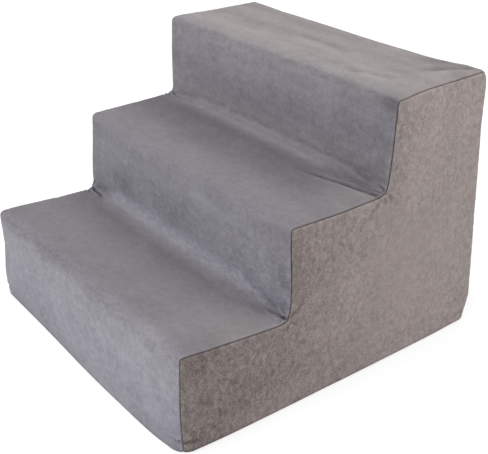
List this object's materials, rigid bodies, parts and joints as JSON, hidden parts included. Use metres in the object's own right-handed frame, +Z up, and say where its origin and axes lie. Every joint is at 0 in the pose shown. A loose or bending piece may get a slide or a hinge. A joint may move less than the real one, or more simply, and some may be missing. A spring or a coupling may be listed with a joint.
{
  "type": "foam pet stairs",
  "caption": "Foam pet stairs: glued slabs in a soft suede cover with a zipped back and a non-slip base, for a small animal to climb onto a sofa or bed.",
  "frame": {"origin": "on the floor, at the bottom centre of the stairs' bounding box", "axes": "+X across the stairs to the climber's right, +Y the way they are climbed, from the front riser to the back, +Z up"},
  "size_m": [0.402, 0.4032, 0.3005],
  "materials": {
    "suede": "matte",
    "foam": "matte",
    "glue": "satin",
    "base_cloth": "matte",
    "grip": "matte",
    "zipper_tape": "matte",
    "zipper_teeth": "satin",
    "zipper_metal": "satin"
  },
  "bodies": {
    "root": {"foam_base_slab": "foam", "foam_middle_slab": "foam", "foam_top_slab": "foam", "glue_web_lower": "glue", "glue_web_upper": "glue", "cover_step_panel": "suede", "cover_side_panel_left": "suede", "cover_side_panel_right": "suede", "cover_back_panel": "suede", "cover_back_hem_strip": "suede", "cover_base_panel": "base_cloth", "base_grip_dots": "grip", "zipper_tape_upper": "zipper_tape", "zipper_tape_lower": "zipper_tape", "zipper_teeth_upper": "zipper_teeth", "zipper_teeth_lower": "zipper_teeth", "zipper_top_stops": "zipper_metal", "zipper_bottom_stop": "zipper_metal"},
    "slider": {"zipper_slider": "zipper_metal"},
    "pull_tab": {"zipper_pull_tab": "zipper_metal"}
  },
  "joints": [
    {"name": "zipper_slide", "type": "slide", "parent": "root", "child": "slider", "axis": [-1, 0, 0], "range_m": [0, 0.34], "deforming": ["zipper_teeth_upper", "zipper_teeth_lower"]},
    {"name": "pull_tab_hinge", "type": "hinge", "parent": "slider", "child": "pull_tab", "pos_m": [0.17135, 0.19935, 0.046], "axis": [0, 0, -1], "range_deg": [0, 175]}
  ]
}
